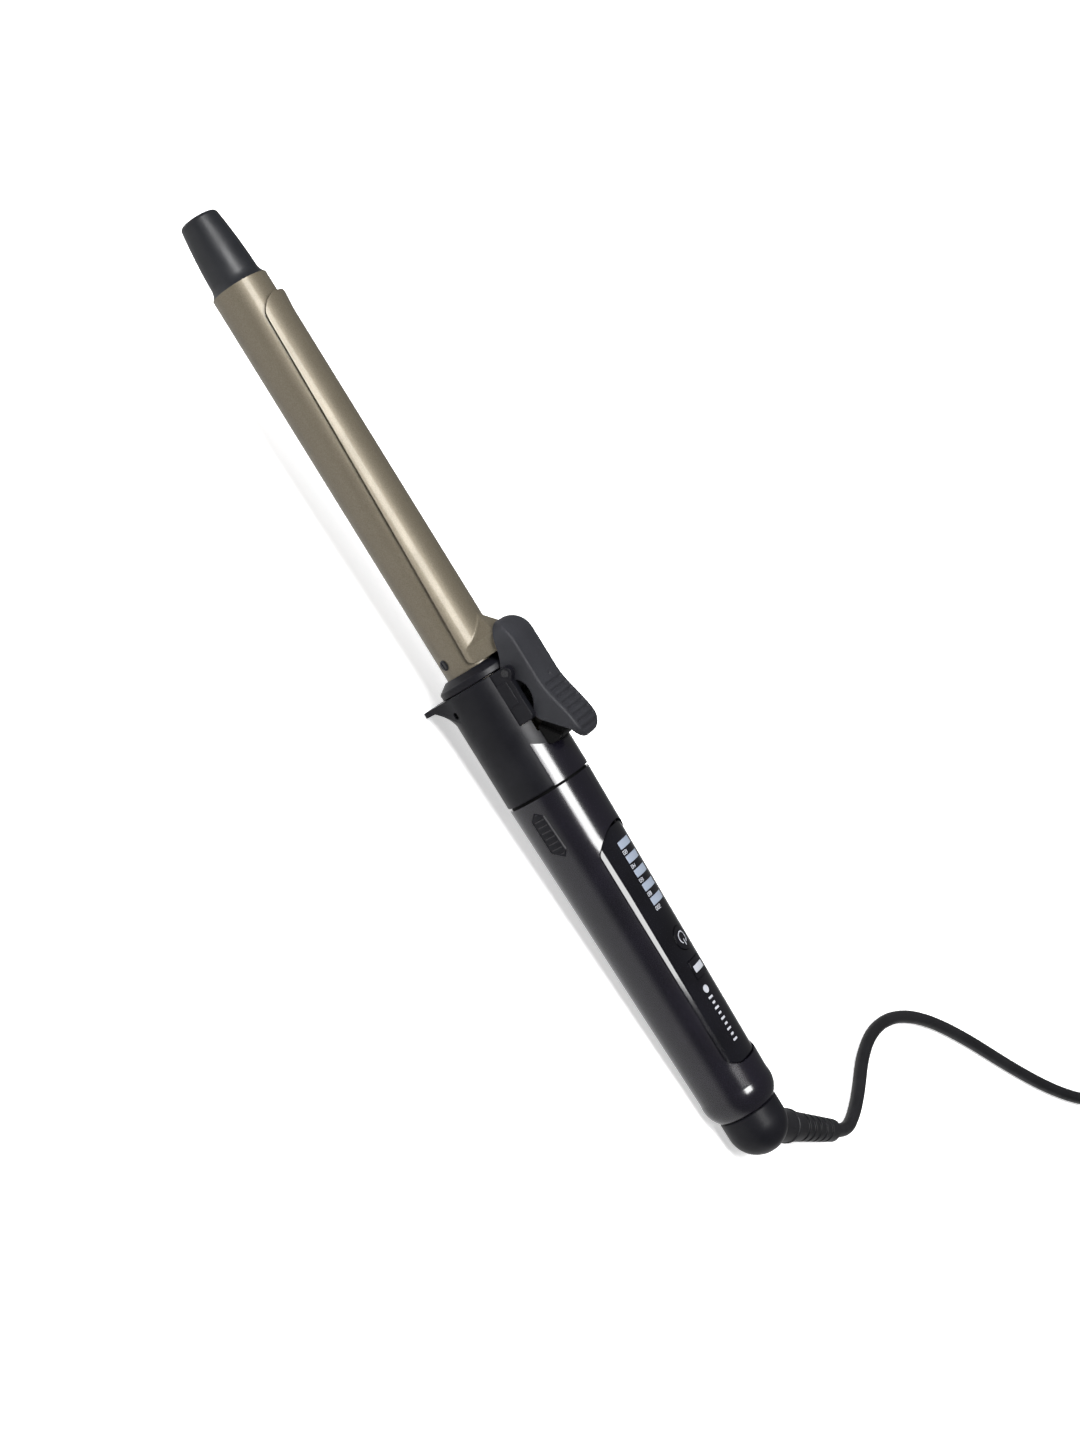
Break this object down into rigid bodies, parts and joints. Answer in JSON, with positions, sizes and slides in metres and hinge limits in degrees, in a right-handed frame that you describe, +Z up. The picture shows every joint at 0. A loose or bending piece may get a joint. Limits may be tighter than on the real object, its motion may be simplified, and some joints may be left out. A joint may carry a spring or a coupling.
{
  "type": "curling wand",
  "caption": "Curling wand with a heated metallic barrel, spring clamp with thumb lever, table rest lip, control panel handle and swivelling mains cord.",
  "frame": {"origin": "middle of the wand's own box, without the cord, in X and Y, on the table it lies on", "axes": "+X along the wand from the cool tip to the tail, +Y to the side where the cord leaves, +Z up, the lever's side"},
  "size_m": [0.6425, 0.3532, 0.0509],
  "materials": {
    "soft_grey": "soft-touch matte",
    "champagne_metal": "smooth metallic coating, glossy",
    "satin_black": "satin moulded",
    "gloss_black": "polished",
    "pale_window": "translucent, printed",
    "button_black": "polished, pale symbol",
    "steel": "plain",
    "spring_steel": "bright wire",
    "bumper_rubber": "matt",
    "heater_aluminium": "machined",
    "heater_ceramic": "fired",
    "mica": "insulating",
    "wire_sleeve": "silicone sleeve",
    "board_green": "coated board",
    "switch_grey": "moulded",
    "carrier_grey": "moulded",
    "contact_brass": "turned",
    "cord_black": "satin sheath",
    "tie_black": "hook and loop strap",
    "prong_nickel": "plated"
  },
  "bodies": {
    "handle": {"cool_tip": "soft_grey", "barrel_tube": "champagne_metal", "clamp_spring": "spring_steel", "hinge_bracket": "satin_black", "hinge_pin": "steel", "lever_bumper": "bumper_rubber", "barrel_screws": "spring_steel", "barrel_collar": "satin_black", "front_housing": "satin_black", "housing_screws": "spring_steel", "housing_inlay": "gloss_black", "seam_ring": "bumper_rubber", "handle_grip": "gloss_black", "side_mark": "gloss_black", "control_panel": "gloss_black", "led_windows": "pale_window", "control_board": "board_green", "tact_switches": "switch_grey", "led_chips": "pale_window", "board_carrier": "carrier_grey", "heater_blocks": "heater_aluminium", "heater_element": "heater_ceramic", "thermistor": "heater_ceramic", "barrel_insulator": "mica", "lead_wires": "wire_sleeve", "end_bushing": "carrier_grey", "contact_brushes": "contact_brass"},
    "clamp": {"clamp_plate": "champagne_metal", "clamp_lever": "soft_grey", "clamp_rivets": "steel"},
    "power_button": {"power_button": "button_black"},
    "mode_button": {"mode_button": "button_black"},
    "swivel": {"swivel_elbow": "satin_black", "swivel_shaft": "carrier_grey", "contact_rings": "contact_brass", "cord_relief": "cord_black", "cord_tube": "cord_black", "cord_coil": "cord_black", "cord_tail": "cord_black", "cord_tie": "tie_black", "plug_body": "cord_black", "plug_pins": "prong_nickel"}
  },
  "joints": [
    {"name": "clamp_hinge", "type": "hinge", "parent": "handle", "child": "clamp", "pos_m": [-0.00168, 0, 0.04032], "axis": [0, 1, 0], "range_deg": [0, 8], "stiffness_Nm_per_rad": 0.3, "springref_deg": -22.92, "deforming": ["clamp_spring"]},
    {"name": "power_press", "type": "slide", "parent": "handle", "child": "power_button", "axis": [-0.0565, 0, -0.9984], "range_m": [0, 0.0006], "stiffness_N_per_m": 800, "springref_m": -0.0008},
    {"name": "mode_press", "type": "slide", "parent": "handle", "child": "mode_button", "axis": [-0.0565, 0, -0.9984], "range_m": [0, 0.0006], "stiffness_N_per_m": 800, "springref_m": -0.0008},
    {"name": "swivel_turn", "type": "hinge", "parent": "handle", "child": "swivel", "pos_m": [0.17892, 0, 0.01388], "axis": [0.9984, 0, -0.0565], "continuous": true}
  ]
}
